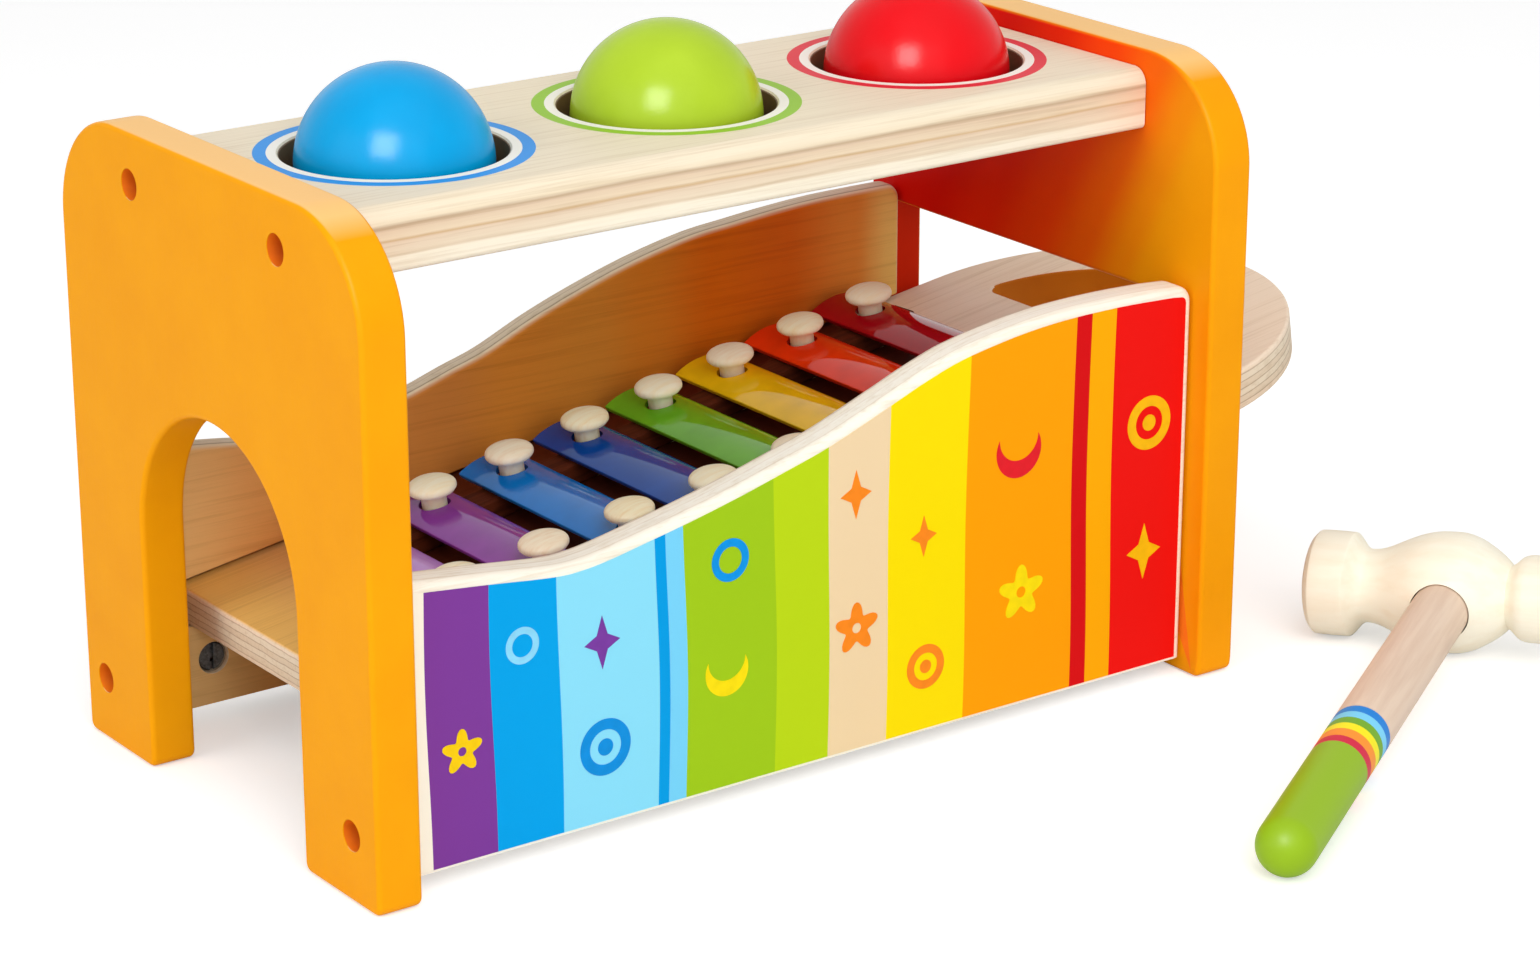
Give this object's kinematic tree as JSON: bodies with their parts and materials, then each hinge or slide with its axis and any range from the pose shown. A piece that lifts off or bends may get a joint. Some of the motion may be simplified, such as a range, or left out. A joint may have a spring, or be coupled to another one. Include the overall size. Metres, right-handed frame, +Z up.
{
  "type": "xylophone pounding bench",
  "caption": "Wooden pounding bench: balls are knocked through its top with a mallet and fall on a sloping xylophone board, which also slides out of the end panel.",
  "frame": {"origin": "on the floor, at the middle of the whole set's bounding box in plan, mallet included", "axes": "+X along the bench towards the end panel with the window and the board's round end, -Y towards the striped side panel in front, +Z up"},
  "size_m": [0.316, 0.2324, 0.1645],
  "materials": {
    "orange_paint": "satin orange paint over plywood",
    "panel_wood": "clear matt varnish over pale plywood",
    "peg_wood": "sanded pale solid wood, clear varnish",
    "zinc": "dull zinc plating",
    "ring_rubber": "matt black rubber",
    "left_ball_paint": "gloss blue paint over solid wood",
    "middle_ball_paint": "gloss lime green paint over solid wood",
    "right_ball_paint": "gloss red paint over solid wood",
    "key_paint_violet": "gloss enamel over sheet steel",
    "key_paint_purple": "gloss enamel over sheet steel",
    "key_paint_sky": "gloss enamel over sheet steel",
    "key_paint_blue": "gloss enamel over sheet steel",
    "key_paint_green": "gloss enamel over sheet steel",
    "key_paint_yellow": "gloss enamel over sheet steel",
    "key_paint_red": "gloss enamel over sheet steel",
    "key_paint_crimson": "gloss enamel over sheet steel"
  },
  "bodies": {
    "bench": {"left_end_panel": "orange_paint", "right_end_panel": "orange_paint", "top_plate": "panel_wood", "front_panel": "panel_wood", "rear_panel": "panel_wood", "left_ball_ring": "ring_rubber", "middle_ball_ring": "ring_rubber", "right_ball_ring": "ring_rubber", "bolt_left_upper_front": "zinc", "bolt_left_upper_rear": "zinc", "bolt_left_lower_front": "zinc", "bolt_left_lower_rear": "zinc", "bolt_right_upper_front": "zinc", "bolt_right_upper_rear": "zinc", "bolt_right_lower_front": "zinc", "bolt_right_lower_rear": "zinc", "nut_left_upper_front": "zinc", "nut_left_upper_rear": "zinc", "nut_left_lower_front": "zinc", "nut_left_lower_rear": "zinc", "nut_right_upper_front": "zinc", "nut_right_upper_rear": "zinc", "nut_right_lower_front": "zinc", "nut_right_lower_rear": "zinc"},
    "xylophone": {"xylophone_board": "panel_wood", "front_key_rail": "peg_wood", "rear_key_rail": "peg_wood", "key_1_violet": "key_paint_violet", "key_2_purple": "key_paint_purple", "key_3_sky": "key_paint_sky", "key_4_blue": "key_paint_blue", "key_5_green": "key_paint_green", "key_6_yellow": "key_paint_yellow", "key_7_red": "key_paint_red", "key_8_crimson": "key_paint_crimson", "peg_front_1": "peg_wood", "peg_front_2": "peg_wood", "peg_front_3": "peg_wood", "peg_front_4": "peg_wood", "peg_front_5": "peg_wood", "peg_front_6": "peg_wood", "peg_front_7": "peg_wood", "peg_front_8": "peg_wood", "peg_rear_1": "peg_wood", "peg_rear_2": "peg_wood", "peg_rear_3": "peg_wood", "peg_rear_4": "peg_wood", "peg_rear_5": "peg_wood", "peg_rear_6": "peg_wood", "peg_rear_7": "peg_wood", "peg_rear_8": "peg_wood"},
    "left_ball": {"left_ball": "left_ball_paint"},
    "middle_ball": {"middle_ball": "middle_ball_paint"},
    "right_ball": {"right_ball": "right_ball_paint"},
    "mallet": {"mallet_head": "peg_wood", "mallet_handle": "peg_wood"}
  },
  "joints": [
    {"name": "xylophone_slide", "type": "slide", "parent": "bench", "child": "xylophone", "axis": [0.988, 0, 0.1541], "range_m": [0, 0.24]},
    {"name": "left_ball_drop", "type": "slide", "parent": "bench", "child": "left_ball", "axis": [0, 0, 1], "range_m": [-0.0689, 0.03], "deforming": ["left_ball_ring"]},
    {"name": "middle_ball_drop", "type": "slide", "parent": "bench", "child": "middle_ball", "axis": [0, 0, 1], "range_m": [-0.0576, 0.03], "deforming": ["middle_ball_ring"]},
    {"name": "right_ball_drop", "type": "slide", "parent": "bench", "child": "right_ball", "axis": [0, 0, 1], "range_m": [-0.0463, 0.03], "deforming": ["right_ball_ring"]},
    {"name": "mallet_lift", "type": "slide", "parent": "bench", "child": "mallet", "axis": [0, 0, 1], "range_m": [0, 0.03]}
  ]
}
